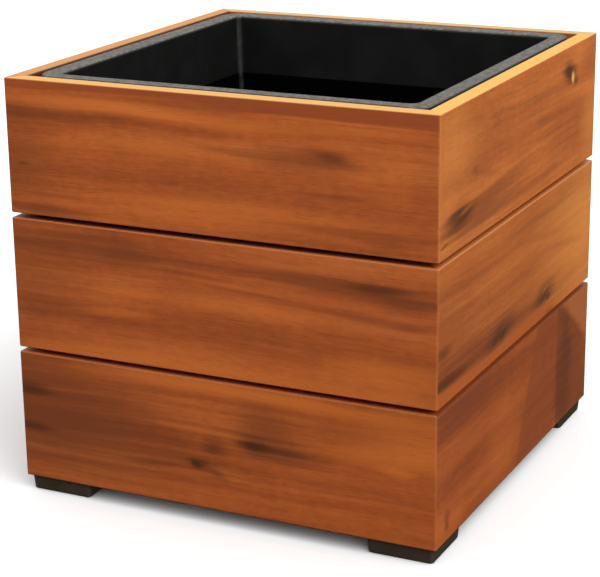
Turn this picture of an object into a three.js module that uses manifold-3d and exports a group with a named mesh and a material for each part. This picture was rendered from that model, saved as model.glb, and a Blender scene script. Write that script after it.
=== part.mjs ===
import * as THREE from 'three';
import { mergeVertices } from 'three/addons/utils/BufferGeometryUtils.js';
import Module from 'manifold-3d';

// A square wooden planter box: three courses of mitred boards screwed to four inner corner posts,
// a slatted base on two cleats, four moulded feet and a moulded liner that lifts out by its rim.
// Millimetres, +Z up, the front towards -Y, the origin on the ground under the middle of the box.

// Side boards
const boxWidth = 400;
const boxDepth = 400;
const boardThickness = 15;
const boardHeight = 119;
const courseGap = 4.5;
const boardEdgeRadius = 1.2;
const boxCornerRadius = 2;
const mitreGap = 0.3;

// Clearance between pieces that bear on each other
const jointGap = 0.3;

// Corner posts
const postSide = 18;
const postEdgeRadius = 1.5;

// Base cleats and slats
const cleatWidth = 22;
const cleatHeight = 20;
const cleatEdgeRadius = 1;
const slatCount = 4;
const slatThickness = 15;
const slatGap = 14;
const slatEndGap = 1;
const slatEdgeRadius = 1.5;

// Feet
const footSide = 62;
const footHeight = 14;
const footInset = 3;
const footLean = 2;
const footCornerRadius = 6;
const footEdgeRadius = 3;
const footBoreDepth = 6;

// Liner
const rimGap = 3;
const rimDrop = 0.3;
const rimWidth = 17;
const rimThickness = 4.2;
const rimCornerRadius = 20;
const rimEdgeRadius = 1.8;
const rimInnerRadius = 3;
const wallThickness = 2.5;
const wallCornerRadius = 7;
const wallDraftDegrees = 1.5;
const shoulderDepth = 57;
const shoulderStep = 1.5;
const shoulderFall = 5;
const floorThickness = 3;
const floorFillet = 5;
const standHeight = 4;
const standWidth = 14;
const standCornerRadius = 4;
const knockoutRadius = 8;
const knockoutDepth = 1.2;
const knockoutSpacing = 150;

// Screws
const screwHeadRadius = 4.2;
const screwHeadHeight = 2.6;
const screwHeadLand = 0.6;
const screwShankRadius = 2.1;
const screwTipLength = 5;
const screwClearance = 0.3;
const screwCover = 4;
const cutOverrun = 1;
const footScrewSpacing = 26;

// Facets
const edgeSteps = 3;
const cornerSteps = 6;
const screwSides = 12;
const knockoutSides = 16;

// Heights of the stack, from the ground up
const courseNames = ['bottom', 'middle', 'top'];
const coursePitch = boardHeight + courseGap;
const boxBottom = footHeight + jointGap;
const boxTop = boxBottom + courseNames.length * coursePitch - courseGap;
const cleatTop = boxBottom + cleatHeight;
const slatBottom = cleatTop + jointGap;
const slatTop = slatBottom + slatThickness;
const linerBottom = slatTop + jointGap;
const rimTop = boxTop - rimDrop;
const rimUnder = rimTop - rimThickness;
const postTop = rimUnder - jointGap;

// Distances across the inside of the box, from its middle
const insideX = boxWidth / 2 - boardThickness;
const insideY = boxDepth / 2 - boardThickness;
const postX = insideX - jointGap - postSide / 2;
const postY = insideY - jointGap - postSide / 2;
const cleatX = insideX - jointGap - cleatWidth / 2;
const cleatLength = 2 * (postY - postSide / 2 - jointGap);
const slatRun = cleatLength - 2 * slatEndGap;
const slatWidth = (slatRun - (slatCount - 1) * slatGap) / slatCount;
const slatPitch = slatWidth + slatGap;

const quarterTurn = Math.PI / 2;
const signs = { left: -1, right: 1 };
const ends = { front: -1, back: 1 };

const wasm = await Module();
wasm.setup();

// Finishes
const oiledWood = () => new THREE.MeshStandardMaterial({ color: 0xb06a34, roughness: 0.55, metalness: 0 });
const plainWood = () => new THREE.MeshStandardMaterial({ color: 0xa5703f, roughness: 0.7, metalness: 0 });
const footPlastic = () => new THREE.MeshStandardMaterial({ color: 0x2b2520, roughness: 0.55, metalness: 0 });
const linerPlastic = () => new THREE.MeshStandardMaterial({ color: 0x1d1e1f, roughness: 0.42, metalness: 0 });
const zincSteel = () => new THREE.MeshStandardMaterial({ color: 0x9b9a94, roughness: 0.38, metalness: 1 });

// A closed geometry as a solid for cutting, with shared corners welded and flat-out triangles dropped.
function toSolid(geometry) {
  const bare = geometry.clone();
  bare.deleteAttribute('normal');
  bare.deleteAttribute('uv');
  const welded = mergeVertices(bare);
  const corners = welded.index.array;
  const triVerts = [];
  for (let i = 0; i < corners.length; i += 3) {
    const [a, b, c] = corners.slice(i, i + 3);
    if (a !== b && b !== c && c !== a) triVerts.push(a, b, c);
  }
  return new wasm.Manifold(new wasm.Mesh({
    numProp: 3,
    vertProperties: new Float32Array(welded.attributes.position.array),
    triVerts: new Uint32Array(triVerts),
  }));
}

function toGeometry(solid) {
  const mesh = solid.getMesh();
  const geometry = new THREE.BufferGeometry();
  geometry.setAttribute('position', new THREE.BufferAttribute(new Float32Array(mesh.vertProperties), 3));
  geometry.setIndex(new THREE.BufferAttribute(new Uint32Array(mesh.triVerts), 1));
  geometry.computeVertexNormals();
  return geometry;
}

function cutAway(geometry, cutters) {
  const cut = cutters.reduce((solid, cutter) => solid.subtract(toSolid(cutter)), toSolid(geometry));
  return toGeometry(cut);
}

function addPiece(parent, name, geometry, material, place = [0, 0, 0], turn = [0, 0, 0]) {
  const mesh = new THREE.Mesh(geometry, material);
  mesh.name = name;
  mesh.position.set(...place);
  mesh.rotation.set(...turn);
  parent.add(mesh);
}

// A bar of eased rectangular section, centred on the origin and running along the named axis.
function easedBar(axis, length, sectionWidth, sectionHeight, radius) {
  const right = sectionWidth / 2 - radius;
  const top = sectionHeight / 2 - radius;
  const section = new THREE.Shape();
  section.absarc(right, -top, radius, -quarterTurn, 0);
  section.absarc(right, top, radius, 0, quarterTurn);
  section.absarc(-right, top, radius, quarterTurn, 2 * quarterTurn);
  section.absarc(-right, -top, radius, 2 * quarterTurn, 3 * quarterTurn);
  const extrusion = { depth: length, bevelEnabled: false, curveSegments: edgeSteps };
  const bar = new THREE.ExtrudeGeometry(section, extrusion);
  bar.translate(0, 0, -length / 2);
  const [x, y, z] = [new THREE.Vector3(1, 0, 0), new THREE.Vector3(0, 1, 0), new THREE.Vector3(0, 0, 1)];
  const frames = { x: [y, z, x], y: [z, x, y], z: [x, y, z] };
  return bar.applyMatrix4(new THREE.Matrix4().makeBasis(...frames[axis]));
}

// A revolved profile whose circles are squared off to the given half sizes. Each profile point says how
// far out it lies from those half sizes, its corner radius and height, and on a flat its reach from
// the middle.
function squaredRevolve(halfX, halfY, profile) {
  const cornerPoints = cornerSteps + 1;
  const ringPoints = 4 * cornerPoints;
  const outline = profile.map(({ out, z, reach = 1 }) => new THREE.Vector2((halfX + out) * reach, z));
  const geometry = new THREE.LatheGeometry(outline, ringPoints).rotateX(quarterTurn);
  const position = geometry.attributes.position;
  for (let i = 0; i < position.count; i += 1) {
    const { out, corner, reach = 1 } = profile[i % profile.length];
    const step = Math.floor(i / profile.length) % ringPoints;
    const quarter = Math.floor(step / cornerPoints);
    const angle = (quarter - 1 + (step % cornerPoints) / cornerSteps) * quarterTurn;
    const middle = (quarter - 0.5) * quarterTurn;
    const x = Math.sign(Math.cos(middle)) * (halfX + out - corner) + corner * Math.cos(angle);
    const y = Math.sign(Math.sin(middle)) * (halfY + out - corner) + corner * Math.sin(angle);
    position.setXY(i, x * reach, y * reach);
  }
  return geometry;
}

// Profile points along a round edge, turning from one angle to another about its centre.
function roundEdge(centreOut, centreZ, radius, fromAngle, toAngle, cornerAt) {
  return Array.from({ length: edgeSteps + 1 }, (_, i) => {
    const angle = fromAngle + ((toAngle - fromAngle) * i) / edgeSteps;
    const out = centreOut + radius * Math.cos(angle);
    return { out, corner: cornerAt(out), z: centreZ + radius * Math.sin(angle) };
  });
}

// A wood screw that points down from the middle of its head's face. With a clearance it is the hole
// that the screw needs, open past the head.
function screwShape(length, headStyle, clearance = 0, headRoom = 0) {
  const shank = screwShankRadius + clearance;
  const head = screwHeadRadius + clearance;
  const seat = headStyle === 'countersunk' ? screwHeadLand : screwHeadHeight;
  const profile = [
    [0, -length - clearance],
    [shank, -length + screwTipLength],
    [shank, -screwHeadHeight - clearance],
    [head, -seat - clearance],
    [head, headRoom],
    [0, headRoom],
  ];
  const points = profile.map(([x, y]) => new THREE.Vector2(x, y));
  return new THREE.LatheGeometry(points, screwSides).rotateX(quarterTurn);
}

// One side board: the plan gives its mitred ends and eased corners, the section its eased long edges.
// The outer face looks to -Y, at half the distance across the box.
function boardShape(length, across) {
  const face = -across / 2;
  const arcX = length / 2 - boxCornerRadius;
  const arcY = face + boxCornerRadius;
  const endGap = mitreGap / Math.SQRT2;
  const mitreAngle = quarterTurn / 2 + Math.asin(endGap / (boxCornerRadius * Math.SQRT2));
  const innerX = length / 2 - boardThickness - endGap;
  const plan = new THREE.Shape();
  plan.absarc(arcX, arcY, boxCornerRadius, -quarterTurn, -mitreAngle);
  plan.lineTo(innerX, face + boardThickness);
  plan.lineTo(-innerX, face + boardThickness);
  plan.absarc(-arcX, arcY, boxCornerRadius, mitreAngle - 2 * quarterTurn, -quarterTurn);
  const extrusion = { depth: boardHeight, bevelEnabled: false, curveSegments: edgeSteps };
  const mitred = new THREE.ExtrudeGeometry(plan, extrusion);
  const eased = easedBar('x', length, boardThickness, boardHeight, boardEdgeRadius);
  eased.translate(0, face + boardThickness / 2, boardHeight / 2);
  return toGeometry(toSolid(mitred).intersect(toSolid(eased)));
}

// Where the base screws go along the cleats: slat screws on the slats' middles, cleat screws between slats.
const slatSpots = Array.from({ length: slatCount }, (_, i) => (i - (slatCount - 1) / 2) * slatPitch);
const cleatSpots = slatSpots.slice(1).map((spot) => spot - slatPitch / 2);
const cleatScrewZ = boxBottom + cleatHeight / 2;
const cleatScrewLength = cleatWidth + jointGap + boardThickness - screwCover;
const slatScrewLength = slatThickness + jointGap + cleatHeight - screwCover;
const cleatScrewStart = cleatX - cleatWidth / 2;

// The four sides, each a group turned about the middle of the box. The bottom boards that carry
// a cleat have its screws' blind pilot holes in their inner faces.
function addSide(box, side, quarter) {
  const carriesCleat = side in signs;
  const length = carriesCleat ? boxDepth : boxWidth;
  const across = carriesCleat ? boxWidth : boxDepth;
  const group = new THREE.Group();
  group.rotation.z = quarter * quarterTurn;
  courseNames.forEach((course, row) => {
    const bottom = boxBottom + row * coursePitch;
    let board = boardShape(length, across);
    if (carriesCleat && row === 0) {
      const pilots = cleatSpots.map((spot) => screwShape(cleatScrewLength, 'countersunk', screwClearance)
        .rotateX(-quarterTurn).translate(spot, -cleatScrewStart, cleatScrewZ - bottom));
      board = cutAway(board, pilots);
    }
    addPiece(group, `${side}_${course}_board`, board, oiledWood(), [0, 0, bottom]);
  });
  box.add(group);
}

// A corner post, with the hole for the screw that comes up through the foot.
function addPost(box, name, signX, signY) {
  const height = postTop - boxBottom;
  const middle = boxBottom + height / 2;
  const bar = easedBar('z', height, postSide, postSide, postEdgeRadius);
  const hole = footScrewCutter().translate(0, 0, footBoreDepth - screwHeadHeight - middle);
  addPiece(box, `${name}_post`, cutAway(bar, [hole]), plainWood(), [signX * postX, signY * postY, middle]);
}

// The foot screws: one up into the post and one up into the cleat beside it.
const footScrewLength = footHeight - footBoreDepth + screwHeadHeight + jointGap + cleatHeight - screwCover;
const footScrewZ = footBoreDepth - screwHeadHeight;
const footSpots = { post: [postX, postY], cleat: [cleatX, postY - footScrewSpacing] };
const footX = boxWidth / 2 - footInset - footSide / 2;
const footY = boxDepth / 2 - footInset - footSide / 2;

function footScrewCutter() {
  const bore = screwShape(footScrewLength, 'pan', screwClearance, footBoreDepth + cutOverrun);
  return bore.rotateX(2 * quarterTurn);
}

// A moulded foot with leaning sides and a rounded lower edge, bored from below for its two screws.
function addFoot(box, name, signX, signY) {
  const cornerAt = (out) => footCornerRadius + out;
  const lowerOut = -footLean - footEdgeRadius;
  const profile = [
    { out: lowerOut, corner: cornerAt(lowerOut), z: 0, reach: 0 },
    ...roundEdge(lowerOut, footEdgeRadius, footEdgeRadius, -quarterTurn, 0, cornerAt),
    { out: 0, corner: footCornerRadius, z: footHeight },
    { out: 0, corner: footCornerRadius, z: footHeight, reach: 0 },
  ];
  const block = squaredRevolve(footSide / 2, footSide / 2, profile);
  const holes = Object.values(footSpots).map(([x, y]) => footScrewCutter()
    .translate(signX * (x - footX), signY * (y - footY), footScrewZ));
  addPiece(box, `${name}_foot`, cutAway(block, holes), footPlastic(), [signX * footX, signY * footY, 0]);
  Object.entries(footSpots).forEach(([seat, [x, y]]) => {
    const screw = screwShape(footScrewLength, 'pan');
    const place = [signX * x, signY * y, footScrewZ];
    addPiece(box, `${name}_foot_${seat}_screw`, screw, zincSteel(), place, [2 * quarterTurn, 0, 0]);
  });
}

// A cleat along the bottom of a side board, with its own screws into the board, the slats' screws from
// above and the feet's screws from below.
function addCleat(box, side, sign) {
  const middle = boxBottom + cleatHeight / 2;
  const bar = easedBar('y', cleatLength, cleatHeight, cleatWidth, cleatEdgeRadius);
  const sideTurn = -sign * quarterTurn;
  const holes = [
    ...cleatSpots.map((spot) => screwShape(cleatScrewLength, 'countersunk', screwClearance, cutOverrun)
      .rotateY(sideTurn).translate(-sign * cleatWidth / 2, spot, 0)),
    ...slatSpots.map((spot) => screwShape(slatScrewLength, 'countersunk', screwClearance)
      .translate(0, spot, slatTop - middle)),
    ...Object.values(ends).map((end) => footScrewCutter()
      .translate(0, end * footSpots.cleat[1], footScrewZ - middle)),
  ];
  addPiece(box, `${side}_cleat`, cutAway(bar, holes), plainWood(), [sign * cleatX, 0, middle]);
  cleatSpots.forEach((spot, i) => {
    const place = [sign * cleatScrewStart, spot, cleatScrewZ];
    const screw = screwShape(cleatScrewLength, 'countersunk');
    addPiece(box, `${side}_cleat_screw_${i + 1}`, screw, zincSteel(), place, [0, sideTurn, 0]);
  });
}

// The base slats lie across the cleats, each held by a countersunk screw at either end.
function addSlats(box) {
  slatSpots.forEach((spot, i) => {
    const middle = slatBottom + slatThickness / 2;
    const bar = easedBar('x', 2 * (insideX - slatEndGap), slatWidth, slatThickness, slatEdgeRadius);
    const holes = Object.values(signs).map((sign) => screwShape(slatScrewLength, 'countersunk',
      screwClearance, cutOverrun).translate(sign * cleatX, 0, slatThickness / 2));
    addPiece(box, `base_slat_${i + 1}`, cutAway(bar, holes), plainWood(), [0, spot, middle]);
    Object.entries(signs).forEach(([side, sign]) => {
      const screw = screwShape(slatScrewLength, 'countersunk');
      addPiece(box, `base_slat_${i + 1}_${side}_screw`, screw, zincSteel(), [sign * cleatX, spot, slatTop]);
    });
  });
}

// The liner: one moulded shell with a rounded flange that sits over the posts, drafted walls with
// a nesting shoulder, a standing ring under the floor and blind drain knock-outs.
function addLiner(box) {
  const slope = Math.tan(THREE.MathUtils.degToRad(wallDraftDegrees));
  const shoulderZ = rimTop - shoulderDepth;
  const floorUnder = linerBottom + standHeight;
  const floorTop = floorUnder + floorThickness;
  const wallIn = (z) => -rimWidth - (rimTop - z) * slope - (z < shoulderZ ? shoulderStep : 0);
  const wallOut = (z) => wallIn(z) + wallThickness;
  const inPoint = (z) => ({ out: wallIn(z), corner: wallCornerRadius, z });
  const outPoint = (z) => ({ out: wallOut(z), corner: wallCornerRadius + wallThickness, z });
  const cornerFrom = (point) => (out) => point.corner + out - point.out;
  const rimCorner = cornerFrom({ out: 0, corner: rimCornerRadius });
  const mouthCorner = cornerFrom({ out: -rimWidth, corner: wallCornerRadius });
  const shoulderLow = shoulderZ - shoulderFall;
  const heelRadius = floorFillet;
  const heel = outPoint(linerBottom + heelRadius);
  const heelOut = heel.out - heelRadius;
  const ring = { out: heelOut - standWidth, corner: standCornerRadius };
  const fillet = inPoint(floorTop + floorFillet);
  const filletOut = fillet.out - floorFillet;
  const filletCorner = cornerFrom(fillet);
  const rimEdgeTop = rimTop - rimEdgeRadius;
  const rimEdgeUnder = rimUnder + rimEdgeRadius;
  const profile = [
    { ...ring, z: floorUnder, reach: 0 },
    { ...ring, z: floorUnder },
    { ...ring, z: linerBottom },
    ...roundEdge(heelOut, heel.z, heelRadius, -quarterTurn, 0, cornerFrom(heel)),
    outPoint(shoulderLow),
    outPoint(shoulderZ),
    outPoint(rimUnder),
    ...roundEdge(-rimEdgeRadius, rimEdgeUnder, rimEdgeRadius, -quarterTurn, 0, rimCorner),
    ...roundEdge(-rimEdgeRadius, rimEdgeTop, rimEdgeRadius, 0, quarterTurn, rimCorner),
    ...roundEdge(-rimWidth + rimInnerRadius, rimTop - rimInnerRadius, rimInnerRadius,
      quarterTurn, 2 * quarterTurn, mouthCorner),
    inPoint(shoulderZ),
    inPoint(shoulderLow),
    ...roundEdge(filletOut, fillet.z, floorFillet, 0, -quarterTurn, filletCorner),
    { out: filletOut, corner: filletCorner(filletOut), z: floorTop, reach: 0 },
  ];
  const shell = squaredRevolve(insideX - rimGap, insideY - rimGap, profile);
  const knockouts = Object.values(signs).flatMap((signX) => Object.values(ends).map((signY) => {
    const depth = knockoutDepth + cutOverrun;
    const disc = new THREE.CylinderGeometry(knockoutRadius, knockoutRadius, depth, knockoutSides);
    const middle = floorUnder + knockoutDepth - depth / 2;
    return disc.rotateX(quarterTurn)
      .translate(signX * knockoutSpacing / 2, signY * knockoutSpacing / 2, middle);
  }));
  addPiece(box, 'liner', cutAway(shell, knockouts), linerPlastic());
}

const planter = new THREE.Group();
['front', 'right', 'back', 'left'].forEach((side, quarter) => addSide(planter, side, quarter));
Object.entries(ends).forEach(([end, signY]) => {
  Object.entries(signs).forEach(([side, signX]) => {
    addPost(planter, `${end}_${side}`, signX, signY);
    addFoot(planter, `${end}_${side}`, signX, signY);
  });
});
Object.entries(signs).forEach(([side, sign]) => addCleat(planter, side, sign));
addSlats(planter);
addLiner(planter);

export default planter;
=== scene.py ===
from math import cos, pi, radians, sin, tan

import bmesh
import bpy
from mathutils import Matrix, Vector


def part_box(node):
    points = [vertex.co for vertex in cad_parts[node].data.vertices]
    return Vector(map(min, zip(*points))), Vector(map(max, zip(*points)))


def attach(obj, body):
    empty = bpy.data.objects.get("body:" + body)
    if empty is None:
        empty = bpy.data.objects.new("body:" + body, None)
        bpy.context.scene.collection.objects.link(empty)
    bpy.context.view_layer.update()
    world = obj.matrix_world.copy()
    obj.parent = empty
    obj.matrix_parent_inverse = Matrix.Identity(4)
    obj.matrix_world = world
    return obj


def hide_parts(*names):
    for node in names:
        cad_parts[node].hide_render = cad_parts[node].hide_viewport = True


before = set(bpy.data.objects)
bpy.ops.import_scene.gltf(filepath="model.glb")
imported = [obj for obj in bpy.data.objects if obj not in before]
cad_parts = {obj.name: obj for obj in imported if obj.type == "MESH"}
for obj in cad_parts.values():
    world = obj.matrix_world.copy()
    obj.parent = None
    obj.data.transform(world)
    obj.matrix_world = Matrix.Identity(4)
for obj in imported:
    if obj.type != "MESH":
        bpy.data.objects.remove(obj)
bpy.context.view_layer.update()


# Corner posts: four planed softwood bars, one inside each corner, from the feet up to just under the rim of
# the liner. They are left unoiled, and their edges are eased with a sanding block.
mm = 0.001
post_edge = 1.5 * mm
post_seed = 40
bar_edge_steps = 4
sharp_angle = radians(40)
plain_tones = ((0.30, (0.130, 0.048, 0.020)), (0.48, (0.270, 0.110, 0.046)),
               (0.62, (0.360, 0.165, 0.074)), (0.78, (0.460, 0.235, 0.115)))
plain_roughness = (0.62, 0.80)
rounded_facing = (0.99, 0.80)
edge_share = 0.35
seed_shift = (7.3, 3.1, 5.7)

# The grain, in waves per metre along, across and through the wood. Each part that makes up the tone also has
# its step from the wood's own seed, its detail, its fineness and its share.
grain_sway = 20 * mm
sway_waves = (3.2, 9.0, 9.0)
grain_parts = {
    "bands": ((1.6, 34.0, 34.0), 1, 2.0, 0.5, 0.80),
    "streaks": ((4.0, 150.0, 150.0), 2, 3.0, 0.6, 0.28),
    "fibres": ((26.0, 1100.0, 1100.0), 3, 2.0, 0.5, 0.20),
    "clouds": ((6.0, 13.0, 13.0), 4, 3.0, 0.5, 0.50),
    "ripple": ((70.0, 9.0, 9.0), 5, 2.0, 0.5, 0.10),
    "mottle": ((110.0, 260.0, 260.0), 7, 2.0, 0.5, 0.22)}
middle_tone = 0.55
pore_waves = (70.0, 1700.0, 1700.0)
pore_step = 6
pore_detail = 1.0
pore_range = (0.60, 0.72)
pore_share = 0.30
streak_range = (0.25, 0.75)
grain_bump = 0.25
grain_height = 0.3 * mm


def add(tree, kind, *values, **settings):
    made = tree.nodes.new(kind)
    for name, value in settings.items():
        setattr(made, name, value)
    for socket, value in zip(made.inputs, values):
        if isinstance(value, bpy.types.NodeSocket):
            tree.links.new(value, socket)
        elif value is not None:
            socket.default_value = value
    return made


def calc(tree, operation, *values):
    return add(tree, "ShaderNodeMath", *values, operation=operation).outputs[0]


def span(tree, value, from_low, from_high, to_low=0.0, to_high=1.0):
    return add(tree, "ShaderNodeMapRange", value, from_low, from_high, to_low, to_high,
               interpolation_type="SMOOTHSTEP").outputs[0]


def tint(tree, factor, under, over):
    # A mix of colours has them on its sockets 6 and 7, and what comes of it on its output 2.
    made = add(tree, "ShaderNodeMix", factor, data_type="RGBA")
    for socket, value in ((made.inputs[6], under), (made.inputs[7], over)):
        if isinstance(value, bpy.types.NodeSocket):
            tree.links.new(value, socket)
        else:
            socket.default_value = (*value, 1.0)
    return made.outputs[2]


def figure(tree, place, waves, seed, detail=2.0, fineness=0.5):
    shift = [step * seed for step in seed_shift]
    at = add(tree, "ShaderNodeVectorMath", place, waves, shift, operation="MULTIPLY_ADD").outputs[0]
    return add(tree, "ShaderNodeTexNoise", at, None, 1.0, detail, fineness).outputs[0]


def new_finish(name):
    finish = bpy.data.materials.new(name)
    finish.use_nodes = True
    return finish


def shader_of(finish):
    return finish.node_tree.nodes["Principled BSDF"]


def unsigned_parts(tree, vector):
    unsigned = add(tree, "ShaderNodeVectorMath", vector, operation="ABSOLUTE").outputs[0]
    return add(tree, "ShaderNodeSeparateXYZ", unsigned).outputs


def eased_edges(tree, facing):
    squarely = calc(tree, "MAXIMUM", facing[0], calc(tree, "MAXIMUM", facing[1], facing[2]))
    return span(tree, squarely, *rounded_facing)


def wood(name, axes, seed, tones, roughness, contrast=1.0, marks=None, trim=None):
    finish = new_finish(name)
    tree, shader = finish.node_tree, shader_of(finish)
    texture = add(tree, "ShaderNodeTexCoord")
    parts = add(tree, "ShaderNodeSeparateXYZ", texture.outputs["Object"]).outputs
    along, across, through = (parts["xyz".index(axis)] for axis in axes)
    straight = add(tree, "ShaderNodeCombineXYZ", along, across, through).outputs[0]
    bent = calc(tree, "MULTIPLY_ADD", figure(tree, straight, sway_waves, seed), grain_sway, across)
    place = add(tree, "ShaderNodeCombineXYZ", along, bent, through).outputs[0]
    tone = middle_tone
    grain = {}
    for part, (waves, step, detail, fineness, share) in grain_parts.items():
        grain[part] = figure(tree, place, waves, seed + step, detail, fineness)
        share *= contrast
        tone = calc(tree, "ADD", tone, calc(tree, "MULTIPLY_ADD", grain[part], share, -share / 2))
    ramp = add(tree, "ShaderNodeValToRGB", tone)
    stops = ramp.color_ramp.elements
    while len(stops) < len(tones):
        stops.new(0.5)
    for stop, (position, colour) in zip(stops, tones):
        stop.position, stop.color = position, (*colour, 1.0)
    colour = ramp.outputs[0]
    if marks:
        colour = marks(tree, place, straight, grain["streaks"], colour)
    pores = span(tree, figure(tree, place, pore_waves, seed + pore_step, pore_detail), *pore_range)
    colour = tint(tree, calc(tree, "MULTIPLY", pores, pore_share), colour, tones[0][1])
    facing = unsigned_parts(tree, texture.outputs["Normal"])
    eased = eased_edges(tree, facing)
    if trim:
        colour = trim(tree, facing[2], eased, through, colour)
    else:
        colour = tint(tree, calc(tree, "MULTIPLY", eased, edge_share), colour, tones[-1][1])
    tree.links.new(colour, shader.inputs["Base Color"])
    tree.links.new(span(tree, grain["streaks"], *streak_range, *roughness), shader.inputs["Roughness"])
    bump = add(tree, "ShaderNodeBump", grain_bump, grain_height)
    tree.links.new(calc(tree, "SUBTRACT", grain["fibres"], pores), bump.inputs["Height"])
    tree.links.new(bump.outputs[0], shader.inputs["Normal"])
    return finish


def plain_wood(name, axes, seed):
    return wood(name, axes, seed, plain_tones, plain_roughness)


def eased_bar(node, radius):
    low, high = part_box(node)
    shape = bmesh.new()
    bmesh.ops.create_cube(shape, size=1.0)
    bmesh.ops.scale(shape, vec=high - low, verts=shape.verts)
    bmesh.ops.translate(shape, vec=(low + high) / 2, verts=shape.verts)
    bmesh.ops.bevel(shape, geom=shape.edges[:], offset=radius, offset_type="OFFSET",
                    segments=bar_edge_steps, profile=0.5, affect="EDGES", material=-1)
    return shape


def put(name, shape, finish, slot, body, *nodes):
    mesh = bpy.data.meshes.new(name)
    shape.to_mesh(mesh)
    shape.free()
    mesh.shade_smooth()
    mesh.set_sharp_from_angle(angle=sharp_angle)
    mesh.materials.append(finish)
    piece = bpy.data.objects.new(name, mesh)
    bpy.context.collection.objects.link(piece)
    piece.modifiers.new("flat faces", "WEIGHTED_NORMAL").keep_sharp = True
    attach(piece, body)
    if nodes:
        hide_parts(*nodes)


corners = {"front_left": (-1, -1), "front_right": (1, -1), "back_left": (-1, 1), "back_right": (1, 1)}
for number, corner in enumerate(corners):
    post_wood = plain_wood(f"{corner}_post_wood", "zxy", post_seed + number)
    put(f"{corner}_post_bar", eased_bar(f"{corner}_post", post_edge), post_wood, "base_wood", "box",
        f"{corner}_post")


# Side boards: three courses of four planed and oiled hardwood boards, mitred at the corners of the box.
# Heartwood runs along them in smoky bands, with a few knots. Open gaps part the courses, and the top edges
# are sanded bare.
box_side = 400 * mm
board_thickness = 15 * mm
board_edge = 1.2 * mm
board_edge_steps = 5
box_arris = 2 * mm
box_arris_steps = 6
mitre_gap = 0.1 * mm
oiled_tones = ((0.26, (0.220, 0.050, 0.012)), (0.44, (0.410, 0.090, 0.019)),
               (0.58, (0.560, 0.128, 0.025)), (0.76, (0.700, 0.190, 0.038)))
oiled_roughness = (0.36, 0.50)
oil_sheen = 0.25
oil_coat = 0.12
oil_coat_roughness = 0.30
# Eased board edges are tinted paler: partly wear, partly painted highlight, scaled with each board's tone.
board_edge_wear_and_highlight = (0.490, 0.170, 0.055)
level_facing = (0.45, 0.95)
level_share = 0.85

# The bare top edges, and painted shade along their inner side, in the groove beside the rim of the liner.
sanded_colours = {"front": (0.765, 0.415, 0.085), "right": (0.780, 0.450, 0.070),
                  "back": (0.610, 0.440, 0.160), "left": (0.600, 0.258, 0.045)}
groove_shade_colour = (0.060, 0.020, 0.006)
groove_shade_shares = {"front": 0.50, "right": 0.50, "back": 0.40, "left": 0.90}
groove_shade_line = (board_thickness - 1.4 * board_edge, board_thickness - 0.6 * board_edge)

# The colour of the open face under each gap, of its lip, and of what lies deep in the gap. The lip and deep
# colours are painted shade: the face darkens into the gap, the lips darken on the lower courses, and deep in
# the gap it stays lighter on the right, where the light comes from.
gap_lip = (1 * mm, 6 * mm)
lip_facing = (0.2, 0.6)
lip_share = 0.85
open_face = (0.520, 0.165, 0.050)
middle_lip_shade = (0.390, 0.116, 0.033)
bottom_lip_shade = (0.286, 0.085, 0.024)
right_deep_shade = (0.580, 0.120, 0.015)
unlit_deep_shade = (0.260, 0.060, 0.016)
gap_looks = {
    "front_middle": (open_face, middle_lip_shade, (0.160, 0.032, 0.008)),
    "front_bottom": (open_face, bottom_lip_shade, (0.420, 0.050, 0.006)),
    "right_middle": (open_face, (0.520, 0.155, 0.044), right_deep_shade),
    "right_bottom": ((0.312, 0.058, 0.008), (0.080, 0.008, 0.001), right_deep_shade),
    "back_middle": (open_face, middle_lip_shade, unlit_deep_shade),
    "back_bottom": (open_face, bottom_lip_shade, unlit_deep_shade),
    "left_middle": (open_face, middle_lip_shade, unlit_deep_shade),
    "left_bottom": (open_face, bottom_lip_shade, unlit_deep_shade)}

# A mark's colour, and how far out from its middle it is still full and where it has faded away. The straight
# kinds keep to their own lines, and the others bend with the grain.
mark_kinds = {
    "smoke": ((0.220, 0.054, 0.018), 0.1, 1.4), "dark": ((0.100, 0.028, 0.010), 0.2, 1.3),
    "knot": ((0.075, 0.026, 0.011), 0.6, 1.1), "grey": ((0.110, 0.045, 0.018), 0.1, 1.4),
    "grain": ((0.300, 0.090, 0.028), 0.0, 1.3), "strip": ((0.390, 0.086, 0.024), 0.8, 1.05),
    "pale": ((0.710, 0.180, 0.030), 0.2, 1.2), "amber": ((0.820, 0.215, 0.040), 0.1, 1.3),
    "ochre": ((0.630, 0.190, 0.040), 0.3, 1.1), "honey": ((0.860, 0.320, 0.070), 0.0, 1.4),
    "cream": ((0.900, 0.500, 0.200), 0.3, 1.1), "sapwood": ((0.470, 0.110, 0.022), 0.8, 1.05),
    # The far end of the right bottom board is darker past a sharp upright edge, crossed by a darker slanted
    # band, with a lighter wedge at its top.
    "dark_end": ((0.200, 0.055, 0.018), 0.99, 1.0), "dark_slant": ((0.270, 0.064, 0.018), 0.94, 1.0),
    # A dark line along the lower edge of the bottom boards is painted shade.
    "wedge": ((0.500, 0.155, 0.042), 0.70, 1.0), "edge_shade": ((0.140, 0.045, 0.018), 0.6, 1.2)}
straight_kinds = ("dark_end", "dark_slant", "wedge", "edge_shade")
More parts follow.
